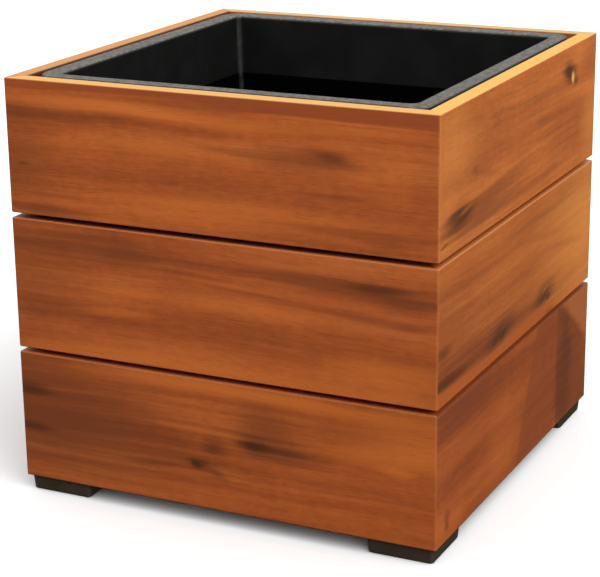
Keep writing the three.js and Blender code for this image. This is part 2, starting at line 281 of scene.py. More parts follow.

# A board's tone, the strength of its figure, and its marks. The tone is partly the wood's own and partly
# painted light: the top courses lighter and the bottom courses darker, as the light falls from above. A
# mark's place is in mm, along the side from its middle and up from the board's lower edge. Then come half its
# length, half its height, its slope and its strength.
board_looks = {
    "front_top": ((1.06, 1.09, 1.15), 0.8, (
        ("smoke", -150, 92, 80, 9, -0.02, 0.30), ("smoke", -198, 48, 60, 44, 0, 0.55),
        ("amber", 20, 22, 140, 16, 0, 0.40), ("amber", -80, 101, 140, 8, -0.035, 0.85),
        ("pale", -40, 71, 85, 6, -0.01, 0.50), ("pale", -5, 81, 35, 3, -0.05, 0.40),
        ("pale", 110, 97, 110, 6, 0.02, 0.40), ("strip", -120, 121, 210, 9, 0, 0.80),
        ("strip", 110, 121, 200, 16, 0, 0.95), ("pale", 120, 104.5, 95, 1.6, -0.004, 0.60),
        ("smoke", 20, 75, 50, 4, -0.04, 0.35), ("smoke", 78, 74, 58, 10, -0.02, 0.65),
        ("smoke", 104, 77, 30, 8, -0.10, 0.60), ("dark", 109, 77, 18, 4.5, -0.12, 0.45),
        ("smoke", 105, 45, 36, 3, 0.01, 0.45), ("smoke", 130, 17, 80, 5, 0, 0.45),
        ("smoke", 165, 12, 40, 3, 0, 0.35), ("dark", -184, 48, 9, 2.2, 0, 0.55),
        ("smoke", -165, 6, 55, 9, -0.02, 0.75), ("smoke", 197, 60, 22, 40, 0, 0.25))),
    "front_middle": ((0.94, 0.96, 1.08), 0.8, (
        ("smoke", -195, 60, 70, 60, 0, 0.45), ("amber", 20, 62, 90, 9, 0, 0.40),
        ("pale", 155, 24, 80, 18, 0, 0.60), ("pale", 0, 4, 260, 8, 0, 0.60),
        ("smoke", -130, 98, 110, 13, 0, 0.65), ("smoke", -82, 96, 34, 6, 0, 0.50),
        ("smoke", 115, 97, 105, 11, 0, 0.70), ("dark", 150, 98, 34, 5, 0.01, 0.70),
        ("smoke", 175, 88, 36, 10, 0, 0.70), ("smoke", 140, 70, 56, 5, -0.08, 0.50),
        ("smoke", 178, 68, 22, 5, 0, 0.50), ("smoke", 40, 76, 50, 3, -0.05, 0.40),
        ("smoke", -20, 85, 40, 2.5, -0.03, 0.35), ("pale", -85, 62, 40, 5, 0, 0.55),
        ("pale", -95, 42, 45, 5, 0, 0.50), ("pale", 10, 81, 60, 3, -0.03, 0.40),
        ("smoke", -80, 32, 42, 3, 0, 0.35), ("smoke", 108, 52, 18, 2, 0, 0.40))),
    "front_bottom": ((0.88, 0.88, 0.92), 0.8, (
        ("smoke", -170, 60, 150, 70, 0, 0.90), ("pale", 175, 88, 70, 34, 0, 0.50),
        ("pale", 20, 110, 190, 8, 0, 0.70), ("smoke", -185, 98, 60, 20, 0, 0.50),
        ("dark", -192, 88, 28, 7, -0.02, 0.85), ("dark", -190, 51, 28, 5, 0, 0.85),
        ("pale", -30, 72, 50, 3, 0, 0.35), ("smoke", 42, 88, 36, 18, 0, 0.65),
        ("smoke", 120, 92, 70, 9, 0.02, 0.30), ("smoke", -62, 36, 40, 5, 0.06, 0.80),
        ("smoke", -20, 40, 22, 9, 0.03, 0.60), ("dark", -21, 41, 11, 6, -0.04, 0.75),
        ("knot", -23, 40.5, 6, 3.2, -0.10, 0.70), ("smoke", -3, 34, 13, 5, -0.30, 0.75),
        ("smoke", -4, 60, 15, 10, 0, 0.80), ("dark", -7, 58, 9, 5, 0.20, 0.30),
        ("smoke", 52, 67, 46, 13, -0.04, 0.90), ("dark", 34, 67, 20, 8, -0.02, 1.00),
        ("dark", 62, 66, 24, 3, 0, 0.50), ("pale", 164, 65, 22, 5, -0.10, 0.60),
        ("edge_shade", 0, 0, 900, 1.6, 0, 0.70))),
    "right_top": ((1.16, 1.42, 1.58), 0.7, (
        ("honey", -180, 90, 70, 50, 0, 0.40), ("ochre", -203, 60, 14, 200, 0, 0.70),
        ("honey", 192, 34, 34, 50, 0, 0.45), ("smoke", 185, 100, 34, 22, 0, 0.30),
        ("smoke", 105, 50, 70, 34, 0, 0.30), ("smoke", -110, 20, 100, 18, 0.05, 0.70),
        ("smoke", 30, 14, 110, 10, 0, 0.35), ("grain", 10, 92, 90, 3, -0.035, 0.50),
        ("grain", -88, 104, 16, 8, -0.60, 0.30), ("grain", -96, 50, 44, 4, -0.24, 0.45),
        ("grain", -58, 16, 70, 3.5, 0.12, 0.45), ("grain", 40, 75, 90, 2.5, -0.02, 0.40),
        ("grain", -20, 38, 60, 3, 0.05, 0.40), ("smoke", 46, 64, 26, 4, -0.05, 0.40),
        ("smoke", -122, 58, 8, 4, 0, 0.40), ("grey", 121, 95, 20, 12, -0.25, 0.90),
        ("dark", 116, 98, 9, 6, -0.30, 0.50), ("cream", 130, 89, 5.5, 7, -0.20, 0.95),
        ("grey", 139, 84, 8, 5, 0, 0.60), ("grey", -154, 29, 34, 12, 0.06, 0.85),
        ("dark", -148, 26, 22, 2.2, 0.12, 0.60), ("ochre", -140, 32, 18, 2, 0.12, 0.35),
        ("dark", -164, 34, 18, 2.2, 0.05, 0.50), ("dark", -188, 12, 10, 2, 0.20, 0.55))),
    "right_middle": ((0.92, 1.10, 1.20), 0.7, (
        ("honey", 205, 66, 160, 72, 0, 0.75), ("smoke", -185, 55, 100, 44, 0, 0.40),
        ("grain", 60, 78, 70, 5, -0.14, 0.30), ("grain", 110, 56, 80, 5, -0.14, 0.30),
        ("grain", 40, 101, 110, 4, -0.04, 0.45), ("smoke", -70, 22, 200, 17, 0, 0.85),
        ("dark", -188, 44, 22, 6, 0, 0.55), ("dark", -178, 18, 56, 6, -0.02, 0.80),
        ("grey", -54, 23, 38, 12, 0.10, 0.85), ("dark", -60, 21, 20, 3, 0.25, 0.55),
        ("knot", -48, 19, 7, 3.5, 0.25, 0.55), ("grain", -40, 29, 16, 2, 0.45, 0.60),
        ("grey", 62, 23, 34, 11, 0.10, 0.80), ("ochre", 66, 27, 12, 2, 0.35, 0.45),
        ("dark", 60, 20, 18, 3, 0.25, 0.50), ("knot", 74, 18, 6, 3.5, 0.25, 0.55),
        ("sapwood", 0, 0, 900, 13, 0, 0.95), ("honey", 200, 4, 120, 13, 0, 0.55),
        ("smoke", 78, 4, 18, 4, 0, 0.50))),
    "right_bottom": ((0.70, 0.71, 0.80), 0.7, (
        ("smoke", -150, 106, 120, 20, 0, 0.90), ("pale", -40, 40, 60, 44, 0, 0.30),
        ("pale", -185, 12, 60, 20, 0, 0.30), ("dark_slant", 71, 59, 2000, 115, 2.15, 0.65),
        ("dark_end", 404, 60, 300, 900, 0, 0.75), ("dark", 128, 34, 30, 60, 0, 0.50),
        ("wedge", 160, 127, 2000, 42, -0.70, 0.70), ("dark", 134, 84, 18, 30, -0.70, 0.30),
        ("pale", 200, 60, 22, 50, 0, 0.10), ("smoke", -176, 21, 7, 11, 0, 0.60),
        ("dark", -177, 17, 3, 5, 0, 0.40), ("edge_shade", 0, 0, 900, 1.6, 0, 0.70))),
    "back_top": ((1.00, 1.00, 1.00), 0.7, (
        ("smoke", -60, 60, 90, 8, 0.03, 0.60), ("dark", 95, 36, 13, 6, 0, 0.80),
        ("smoke", 130, 34, 36, 4, 0.02, 0.60), ("pale", 0, 110, 240, 9, 0, 0.50))),
    "back_middle": ((0.94, 0.94, 0.94), 0.7, (
        ("smoke", 90, 70, 120, 30, 0, 0.50), ("smoke", -120, 84, 60, 6, -0.04, 0.60),
        ("pale", -40, 10, 200, 9, 0, 0.50))),
    "back_bottom": ((0.88, 0.88, 0.88), 0.7, (
        ("smoke", 40, 88, 110, 7, 0.02, 0.65), ("dark", -110, 62, 11, 5, 0, 0.80),
        ("smoke", -140, 60, 34, 4, 0, 0.60), ("edge_shade", 0, 0, 900, 1.6, 0, 0.70))),
    "left_top": ((1.00, 1.00, 1.00), 0.7, (
        ("smoke", 60, 40, 130, 26, 0, 0.45), ("smoke", -90, 92, 80, 6, 0.03, 0.60),
        ("dark", 128, 70, 10, 5, 0, 0.75))),
    "left_middle": ((0.94, 0.94, 0.94), 0.7, (
        ("smoke", 20, 30, 120, 7, -0.02, 0.65), ("pale", 0, 112, 230, 9, 0, 0.50),
        ("smoke", -150, 70, 40, 9, 0, 0.55))),
    "left_bottom": ((0.88, 0.88, 0.88), 0.7, (
        ("smoke", -60, 80, 120, 34, 0, 0.50), ("dark", 60, 44, 12, 5, 0.10, 0.80),
        ("smoke", 95, 42, 36, 4, 0.05, 0.60), ("edge_shade", 0, 0, 900, 1.6, 0, 0.70))),
}


def mark_mask(tree, place, streaks, centre, length, height, slope, full, faded):
    away = add(tree, "ShaderNodeVectorMath", place, centre, operation="SUBTRACT").outputs[0]
    parts = add(tree, "ShaderNodeSeparateXYZ", away).outputs
    up = calc(tree, "MULTIPLY_ADD", parts[0], -slope, parts[1])
    far = add(tree, "ShaderNodeCombineXYZ", calc(tree, "DIVIDE", parts[0], length),
              calc(tree, "DIVIDE", up, height)).outputs[0]
    far = add(tree, "ShaderNodeVectorMath", far, operation="LENGTH").outputs["Value"]
    ragged = faded - full
    far = calc(tree, "ADD", far, calc(tree, "MULTIPLY_ADD", streaks, ragged, -ragged / 2))
    return span(tree, far, faded, full)


def marked(marks, low):
    def paint(tree, place, straight, streaks, colour):
        for kind, along, up, length, height, slope, strength in marks:
            mark_colour, full, faded = mark_kinds[kind]
            grain, lift = (straight, 0.0) if kind in straight_kinds else (place, grain_sway / 2)
            centre = (along * mm, low + up * mm + lift, 0.0)
            mask = mark_mask(tree, grain, streaks, centre, length * mm, height * mm, slope, full, faded)
            colour = tint(tree, calc(tree, "MULTIPLY", mask, strength), colour, mark_colour)
        return colour
    return paint


def shaded(colour, shade):
    return [part * share for part, share in zip(colour, shade)]


def depth_in(tree, through):
    return calc(tree, "SUBTRACT", box_side / 2, calc(tree, "ABSOLUTE", through))


def sanded_top(edge_wear_and_highlight, top_colour, groove_shade_share):
    def paint(tree, rise, eased, through, colour):
        colour = tint(tree, span(tree, rise, *level_facing, 0.0, level_share), colour, top_colour)
        colour = tint(tree, calc(tree, "MULTIPLY", eased, edge_share), colour, edge_wear_and_highlight)
        # Painted shade: the top edge darkens towards its inner side, beside the rim of the liner.
        inner = span(tree, depth_in(tree, through), *groove_shade_line, 0.0, groove_shade_share)
        return tint(tree, inner, colour, groove_shade_colour)
    return paint


def gap_face(edge_wear_and_highlight, open_colour, lip_shade_colour, deep_shade_colour):
    def paint(tree, rise, eased, through, colour):
        # Painted shade: the face darkens from its open colour to its deep colour into the gap, and the lip
        # takes its own shaded colour.
        inside = tint(tree, span(tree, depth_in(tree, through), *gap_lip), open_colour, deep_shade_colour)
        colour = tint(tree, span(tree, rise, *level_facing, 0.0, level_share), colour, inside)
        edge = tint(tree, span(tree, rise, *lip_facing), edge_wear_and_highlight, lip_shade_colour)
        share = span(tree, rise, *lip_facing, edge_share, lip_share)
        return tint(tree, calc(tree, "MULTIPLY", eased, share), colour, edge)
    return paint


def course_ring(low, high):
    ring = bmesh.new()
    bmesh.ops.create_cube(ring, size=1.0)
    bmesh.ops.scale(ring, vec=(box_side, box_side, high - low), verts=ring.verts)
    bmesh.ops.translate(ring, vec=(0, 0, (low + high) / 2), verts=ring.verts)
    ends = [face for face in ring.faces if round(face.normal.z)]
    bmesh.ops.inset_individual(ring, faces=ends, thickness=board_thickness, use_even_offset=True)
    bmesh.ops.delete(ring, geom=ends, context="FACES_ONLY")
    bmesh.ops.bridge_loops(ring, edges=[edge for edge in ring.edges if edge.is_boundary])
    bmesh.ops.recalc_face_normals(ring, faces=ring.faces)
    inside = box_side / 2 - board_edge
    upright = [edge for edge in ring.edges if edge.verts[0].co.xy == edge.verts[1].co.xy
               and all(min(abs(vert.co.x), abs(vert.co.y)) > inside for vert in edge.verts)]
    bmesh.ops.bevel(ring, geom=upright, offset=box_arris, offset_type="OFFSET", segments=box_arris_steps,
                    profile=0.5, affect="EDGES", material=-1)
    level = [edge for edge in ring.edges
             if round(sum(abs(face.normal.z) for face in edge.link_faces)) == 1]
    bmesh.ops.bevel(ring, geom=level, offset=board_edge, offset_type="OFFSET", segments=board_edge_steps,
                    profile=0.5, affect="EDGES", material=-1)
    return ring


def mitred_board(ring, turn):
    board = ring.copy()
    for lean in (1, -1):
        outwards = Vector((lean, 1, 0)).normalized()
        bmesh.ops.bisect_plane(board, geom=board.verts[:] + board.edges[:] + board.faces[:],
                               plane_co=outwards * -mitre_gap / 2, plane_no=outwards, clear_outer=True)
    bmesh.ops.holes_fill(board, edges=[edge for edge in board.edges if edge.is_boundary])
    bmesh.ops.rotate(board, cent=(0, 0, 0), matrix=Matrix.Rotation(turn, 3, "Z"), verts=board.verts)
    return board


courses = ("bottom", "middle", "top")
board_seed = 0
for course in courses:
    low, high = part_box(f"front_{course}_board")
    ring = course_ring(low.z, high.z)
    for quarter, side in enumerate(("front", "right", "back", "left")):
        board_seed += 1
        board = f"{side}_{course}"
        axes = "xzy" if side in ("front", "back") else "yzx"
        shade, contrast, marks = board_looks[board]
        # The board's tone, painted light from above in part, scales all its colours.
        tones = [(level, shaded(colour, shade)) for level, colour in oiled_tones]
        edge_wear_and_highlight = shaded(board_edge_wear_and_highlight, shade)
        if course == "top":
            trim = sanded_top(edge_wear_and_highlight, sanded_colours[side], groove_shade_shares[side])
        else:
            trim = gap_face(edge_wear_and_highlight, *(shaded(colour, shade) for colour in gap_looks[board]))
        board_wood = wood(f"{board}_board_wood", axes, board_seed, tones, oiled_roughness, contrast,
                          marked(marks, low.z), trim)
        oil = shader_of(board_wood).inputs
        oil["Specular IOR Level"].default_value = oil_sheen
        oil["Coat Weight"].default_value = oil_coat
        oil["Coat Roughness"].default_value = oil_coat_roughness
        put(f"{board}_board_plank", mitred_board(ring, quarter * pi / 2), board_wood, "board_wood", "box",
            f"{board}_board")
    ring.free()


# Cleats: two planed softwood strips along the inside of the left and right bottom boards, screwed to them.
# They are unoiled, and carry the ends of the base slats.
cleat_edge = 1 * mm
cleat_seed = 50
for number, side in enumerate(("left", "right")):
    cleat_wood = plain_wood(f"{side}_cleat_wood", "yzx", cleat_seed + number)
    put(f"{side}_cleat_strip", eased_bar(f"{side}_cleat", cleat_edge), cleat_wood, "base_wood", "box",
        f"{side}_cleat")


# Base slats: four planed softwood boards laid across the cleats, with gaps that let water through.
# They are unoiled, a screw holds each end, and the liner stands on them.
slat_edge = 1.5 * mm
slat_seed = 60
slat_numbers = (1, 2, 3, 4)
for number in slat_numbers:
    slat_wood = plain_wood(f"base_slat_{number}_wood", "xyz", slat_seed + number)
    put(f"base_slat_{number}_plank", eased_bar(f"base_slat_{number}", slat_edge), slat_wood, "base_wood",
        "box", f"base_slat_{number}")


# Feet: four square pads moulded in dark brown plastic, with rounded corners and sides that lean in towards
# the floor. Each is held from below by two screws in counterbored holes.
foot_lean = 1.2 * mm
foot_corner = 5 * mm
foot_edge = 2.4 * mm
foot_edge_steps = 5
foot_top_edge = 0.6 * mm
foot_bore = 4.5 * mm
foot_bore_depth = 6 * mm
foot_screw_seats = ("post", "cleat")
foot_colour = (0.038, 0.026, 0.015)
foot_pale = (0.072, 0.052, 0.032)
foot_seed = 80
foot_grain = 900.0
foot_roughness = 0.48
corner_steps = 8
pocket_steps = 32
level_slack = 0.01 * mm
plastic_clouds = (30.0, 30.0, 30.0)
plastic_cloud_detail = 3.0
plastic_cloud_range = (0.35, 0.75)
plastic_cloud_share = 0.5
plastic_rub_share = 0.5
plastic_roughness_spread = 0.16
pebble_bump = 0.20
pebble_height = 0.2 * mm


def quarter_round(half, z, radius, start, steps):
    turns = [start + step * pi / 2 / steps for step in range(steps + 1)]
    return [(half + radius * cos(turn), z + radius * sin(turn)) for turn in turns]


def bent_rings(points, wall, corner):
    return [(half, corner + half - wall, z) for half, z in points]


def squared_ring(shape, half, corner, z, centre):
    place = Matrix.Translation((*centre, z))
    square = bmesh.ops.create_grid(shape, x_segments=1, y_segments=1, size=half, matrix=place)
    rounded = bmesh.ops.bevel(shape, geom=square["verts"], offset=corner, offset_type="OFFSET",
                              segments=corner_steps, profile=0.5, affect="VERTICES", material=-1)
    return rounded["verts"][0].link_faces[0]


def squared_shell(profile, centre=(0, 0)):
    shape = bmesh.new()
    rings = [squared_ring(shape, half, corner, z, centre) for half, corner, z in profile]
    loops = [face.edges[:] for face in rings]
    bmesh.ops.delete(shape, geom=rings[1:-1], context="FACES_ONLY")
    for lower, upper in zip(loops, loops[1:]):
        bmesh.ops.bridge_loops(shape, edges=lower + upper)
    bmesh.ops.recalc_face_normals(shape, faces=shape.faces)
    return shape


def round_pockets(shape, floor_z, spots, radius, depth):
    faces_down = [face for face in shape.faces if round(face.normal.z) == -1
                  and abs(face.calc_center_median().z - floor_z) < level_slack]
    under = max(faces_down, key=lambda face: face.calc_area())
    outline = under.edges[:]
    bmesh.ops.delete(shape, geom=[under], context="FACES_ONLY")
    mouths = []
    for spot in spots:
        mouth = bmesh.ops.create_circle(shape, cap_ends=False, radius=radius, segments=pocket_steps,
                                        matrix=Matrix.Translation((*spot, floor_z)))["verts"]
        mouths.append(list(dict.fromkeys(edge for vert in mouth for edge in vert.link_edges)))
    bmesh.ops.triangle_fill(shape, use_beauty=True,
                            edges=outline + [edge for mouth in mouths for edge in mouth])
    for mouth in mouths:
        wall = bmesh.ops.extrude_edge_only(shape, edges=mouth)["geom"]
        bottom = [part for part in wall if isinstance(part, bmesh.types.BMVert)]
        bmesh.ops.translate(shape, vec=(0, 0, depth), verts=bottom)
        bottom_edges = [part for part in wall if isinstance(part, bmesh.types.BMEdge)
                        and all(vert in bottom for vert in part.verts)]
        bmesh.ops.contextual_create(shape, geom=bottom_edges)
    bmesh.ops.recalc_face_normals(shape, faces=shape.faces)


def moulded_plastic(name, colour, pale, seed, grain, roughness):
    finish = new_finish(name)
    tree, shader = finish.node_tree, shader_of(finish)
    texture = add(tree, "ShaderNodeTexCoord")
    place = texture.outputs["Object"]
    clouds = figure(tree, place, plastic_clouds, seed, plastic_cloud_detail)
    pebble = figure(tree, place, (grain, grain, grain), seed + 1)
    eased = eased_edges(tree, unsigned_parts(tree, texture.outputs["Normal"]))
    cloudy = span(tree, clouds, *plastic_cloud_range, 0.0, plastic_cloud_share)
    shade = tint(tree, cloudy, colour, pale)
    shade = tint(tree, calc(tree, "MULTIPLY", eased, plastic_rub_share), shade, pale)
    rough = calc(tree, "MULTIPLY_ADD", clouds, plastic_roughness_spread,
                 roughness - plastic_roughness_spread / 2)
    bump = add(tree, "ShaderNodeBump", pebble_bump, pebble_height)
    tree.links.new(pebble, bump.inputs["Height"])
    tree.links.new(shade, shader.inputs["Base Color"])
    tree.links.new(rough, shader.inputs["Roughness"])
    tree.links.new(bump.outputs[0], shader.inputs["Normal"])
    return finish


foot_plastic = moulded_plastic("foot_plastic", foot_colour, foot_pale, foot_seed, foot_grain, foot_roughness)
for corner in corners:
    low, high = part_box(f"{corner}_foot")
    half = (high.x - low.x) / 2
    toe = half - foot_lean
    toe_round = quarter_round(toe - foot_edge, foot_edge, foot_edge, -pi / 2, foot_edge_steps)
    profile = bent_rings(toe_round, toe, foot_corner - foot_lean)
    profile += [(half, foot_corner, high.z - foot_top_edge),
                (half - foot_top_edge / 3, foot_corner, high.z - foot_top_edge / 3),
                (half - foot_top_edge, foot_corner - foot_top_edge, high.z)]
    foot = squared_shell(profile, ((low + high) / 2).xy)
    screw_boxes = [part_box(f"{corner}_foot_{seat}_screw") for seat in foot_screw_seats]
    spots = [((screw_low + screw_high) / 2).xy for screw_low, screw_high in screw_boxes]
    round_pockets(foot, low.z, spots, foot_bore, foot_bore_depth)
    put(f"{corner}_foot_pad", foot, foot_plastic, "foot_plastic", "box", f"{corner}_foot")


# Screws: zinc-plated steel wood screws with cross recesses, each formed from one length of wire.
# Pan heads hold the feet and the posts, and countersunk heads lie flush in the cleats and slats.
head_radius = 4.2 * mm
head_height = 2.6 * mm
head_land = 0.6 * mm
head_chamfer = 0.15 * mm
shank_radius = 2.1 * mm
tip_length = 5 * mm
screw_steps = 24
weld_distance = 0.001 * mm
cross_half = 1.9 * mm
cross_depth = 1.5 * mm
cross_taper = 0.62
zinc_colour = (0.50, 0.50, 0.48)
zinc_dull = (0.30, 0.29, 0.27)
zinc_clouds = (400.0, 400.0, 400.0)
zinc_cloud_detail = 3.0
zinc_seed = 90
zinc_dulling = (0.35, 0.70)
zinc_roughening = (0.30, 0.75)
zinc_roughness = (0.28, 0.48)

# The dome of a pan head, in shares of the head's radius out and of its height down from the top.
pan_dome = ((1.00, 0.45), (0.94, 0.22), (0.80, 0.06), (0.66, 0.00))


def screw_profile(style, length):
    shank = [(0, -length), (shank_radius, tip_length - length), (shank_radius, -head_height)]
    if style == "countersunk":
        return shank + [(head_radius, -head_land), (head_radius, -head_chamfer),
                        (head_radius - head_chamfer, 0)]
    dome = [(out * head_radius, -down * head_height) for out, down in pan_dome]
    return shank + [(head_radius, -head_height)] + dome


def driven_from(spot, facing):
    return Matrix.Translation(spot) @ facing.to_track_quat("Z", "Y").to_matrix().to_4x4()


def cross_screw(shape, style, length, place):
    screw = bmesh.new()
    points = [screw.verts.new((out, 0, z)) for out, z in screw_profile(style, length)]
    line = [screw.edges.new(pair) for pair in zip(points, points[1:])]
    bmesh.ops.spin(screw, geom=points + line, cent=(0, 0, 0), axis=(0, 0, 1), angle=2 * pi,
                   steps=screw_steps, use_merge=True)
    bmesh.ops.remove_doubles(screw, verts=screw.verts, dist=weld_distance)
    mouth = [edge for edge in screw.edges if edge.is_boundary]
    cross = bmesh.ops.create_grid(screw, x_segments=3, y_segments=3, size=cross_half)["verts"]
    squares = list(dict.fromkeys(face for vert in cross for face in vert.link_faces))
    outer = [face for face in squares if min(map(abs, face.calc_center_median().xy)) > cross_half / 2]
    arms = [face for face in squares if face not in outer]
    bmesh.ops.delete(screw, geom=outer, context="FACES")
    lips = [edge for face in arms for edge in face.edges if edge.is_boundary]
    bmesh.ops.triangle_fill(screw, use_beauty=True, edges=mouth + lips)
    deep = bmesh.ops.extrude_face_region(screw, geom=arms)["geom"]
    deep = [part for part in deep if isinstance(part, bmesh.types.BMVert)]
    bmesh.ops.delete(screw, geom=arms, context="FACES")
    bmesh.ops.scale(screw, vec=(cross_taper, cross_taper, 1), verts=deep)
    bmesh.ops.translate(screw, vec=(0, 0, -cross_depth), verts=deep)
    bmesh.ops.recalc_face_normals(screw, faces=screw.faces)
    bmesh.ops.transform(screw, matrix=place, verts=screw.verts)
    made = bpy.data.meshes.new("screw")
    screw.to_mesh(made)
    screw.free()
    shape.from_mesh(made)
    bpy.data.meshes.remove(made)


def zinc_plate():
    finish = new_finish("zinc_steel")
    tree, shader = finish.node_tree, shader_of(finish)
    place = add(tree, "ShaderNodeTexCoord").outputs["Object"]
    clouds = figure(tree, place, zinc_clouds, zinc_seed, zinc_cloud_detail)
    shade = tint(tree, span(tree, clouds, *zinc_dulling), zinc_colour, zinc_dull)
    tree.links.new(shade, shader.inputs["Base Color"])
    tree.links.new(span(tree, clouds, *zinc_roughening, *zinc_roughness), shader.inputs["Roughness"])
    shader.inputs["Metallic"].default_value = 1.0
    return finish


zinc = zinc_plate()
screws = {f"{corner}_foot_{seat}_screw": ("pan", Vector((0, 0, -1)))
          for corner in corners for seat in foot_screw_seats}
screws |= {f"left_cleat_screw_{number}": ("countersunk", Vector((1, 0, 0))) for number in (1, 2, 3)}
screws |= {f"right_cleat_screw_{number}": ("countersunk", Vector((-1, 0, 0))) for number in (1, 2, 3)}
screws |= {f"base_slat_{number}_{side}_screw": ("countersunk", Vector((0, 0, 1)))
           for number in slat_numbers for side in ("left", "right")}
for node, (style, facing) in screws.items():
    low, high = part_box(node)
    length = abs((high - low).dot(facing))
    screw = bmesh.new()
    cross_screw(screw, style, length, driven_from((low + high) / 2 + facing * length / 2, facing))
    put(f"{node}_steel", screw, zinc, "screw_steel", "box", node)


# Board screws: two in each board's end, driven from inside the box through the corner posts.
# They are the same zinc-plated screws, of which only the pan heads on the posts' inner faces show.
board_screw_reach = head_height + 3 * mm
board_screw_rise = 34 * mm
board_screw_stagger = 4 * mm
for corner, (side_x, side_y) in corners.items():
    low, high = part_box(f"{corner}_post")
    middle = (low + high) / 2
    heads = bmesh.new()
    for course in courses:
        board_low, board_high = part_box(f"front_{course}_board")
        board_middle = (board_low.z + board_high.z) / 2
        for facing, shift in ((Vector((-side_x, 0, 0)), board_screw_stagger),
                              (Vector((0, -side_y, 0)), -board_screw_stagger)):
            for rise in (-board_screw_rise, board_screw_rise):
                spot = Vector((middle.x, middle.y, board_middle + rise + shift))
                spot += facing * ((high.x - low.x) / 2 + head_height)
                cross_screw(heads, "pan", board_screw_reach + tip_length, driven_from(spot, facing))
    put(f"{corner}_board_screw_heads", heads, zinc, "screw_steel", "box")


# Liner: a loose black plastic tub, moulded in one piece. A ring under its floor stands on the base slats,
# and its flat rim rests on the posts. Its walls draw in downwards, and have a smooth inner face below a small
# shoulder, painted nearly black there as shade.
rim_half = 182 * mm
rim_width = 17 * mm
rim_corner = 20 * mm
rim_edge = 1.8 * mm
rim_inner_edge = 3 * mm
rim_thickness = 4.2 * mm
wall_corner = 7 * mm
wall_thickness = 2.5 * mm
wall_slope = tan(radians(1.5))
shoulder_depth = 57 * mm
shoulder_step = 1.5 * mm
shoulder_fall = 5 * mm
floor_thickness = 3 * mm
floor_fillet = 5 * mm
floor_margin = 6 * mm
floor_fall = 0.02 * mm
stand_height = 4 * mm
stand_width = 14 * mm
stand_corner = 4 * mm
knockout_radius = 8 * mm
knockout_depth = 1.2 * mm
knockout_spot = 75 * mm
flat_fall = 0.1 * mm
liner_round_steps = 6
liner_colour = (0.0048, 0.0048, 0.0046)
liner_pale = (0.0090, 0.0090, 0.0085)
liner_seed = 85
liner_grain = 1400.0
liner_roughness = 0.42
liner_sheen = 0.25
smooth_inside_shade = (0.0006, 0.0006, 0.0006)
smooth_roughness = 0.22
smooth_start = 0.5 * mm
smooth_full = 1 * mm
inner_facing = (0.02, 0.0)
plan_only = (1.0, 1.0, 0.0)
# A painted highlight down the rounded upright corners of the tub, broken up in specks.
corner_highlight_colour = (0.029, 0.029, 0.027)
corner_highlight_facing = (0.96, 0.80)
corner_highlight_upright = (0.3, 0.1)
corner_highlight_waves = (300.0, 300.0, 150.0)
corner_highlight_step = 3
corner_highlight_least = 0.4
# The flat top of the rim is painted grey, mottled in specks, as a painted sheen.
rim_sheen_dark = (0.056, 0.050, 0.044)
rim_sheen_pale = (0.134, 0.120, 0.105)
rim_speck_waves = (260.0, 260.0, 260.0)
rim_speck_detail = 3.0
rim_speck_step = 2
speckle_range = (0.35, 0.65)

liner_low, liner_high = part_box("liner")
rim_top = liner_high.z
floor_under = liner_low.z + stand_height
floor_top = floor_under + floor_thickness
shoulder = rim_top - shoulder_depth


def wall_half(z):
    step = shoulder_step if z < shoulder - flat_fall else 0
    return rim_half - rim_width - (rim_top - z) * wall_slope - step


def liner_round(half, z, radius, start):
    return quarter_round(half, z, radius, start, liner_round_steps)


def liner_profile():
    outer_corner = wall_corner + wall_thickness
    mouth_half = rim_half - rim_width
    heel_half = wall_half(liner_low.z + floor_fillet) + wall_thickness
    heel = liner_round(heel_half - floor_fillet, liner_low.z + floor_fillet, floor_fillet, -pi / 2)
    fillet_half = wall_half(floor_top + floor_fillet)
    fillet = liner_round(fillet_half - floor_fillet, floor_top + floor_fillet, floor_fillet, -pi / 2)
    rim_under = rim_top - rim_thickness
    rim_round = (liner_round(rim_half - rim_edge, rim_under + rim_edge, rim_edge, -pi / 2)
                 + liner_round(rim_half - rim_edge, rim_top - rim_edge, rim_edge, 0))
    mouth = liner_round(mouth_half + rim_inner_edge, rim_top - rim_inner_edge - flat_fall, rim_inner_edge,
                        pi / 2)
    stand_half = heel_half - floor_fillet - stand_width
    stand = [(stand_half, stand_corner, z) for z in (floor_under, liner_low.z + flat_fall)]
    outer_wall = [(wall_half(z) + wall_thickness, outer_corner, z)
                  for z in (shoulder - shoulder_fall, shoulder, rim_under + flat_fall)]
    inner_wall = [(wall_half(z), wall_corner, z) for z in (shoulder, shoulder - shoulder_fall)]
    floor_half = fillet_half - floor_fillet - floor_margin
    return [*stand, *bent_rings(heel, heel_half, outer_corner), *outer_wall,
            *bent_rings(rim_round, rim_half, rim_corner), *bent_rings(mouth, mouth_half, wall_corner),
            *inner_wall, *bent_rings(reversed(fillet), fillet_half, wall_corner),
            (floor_half, wall_corner - floor_fillet, floor_top - floor_fall)]


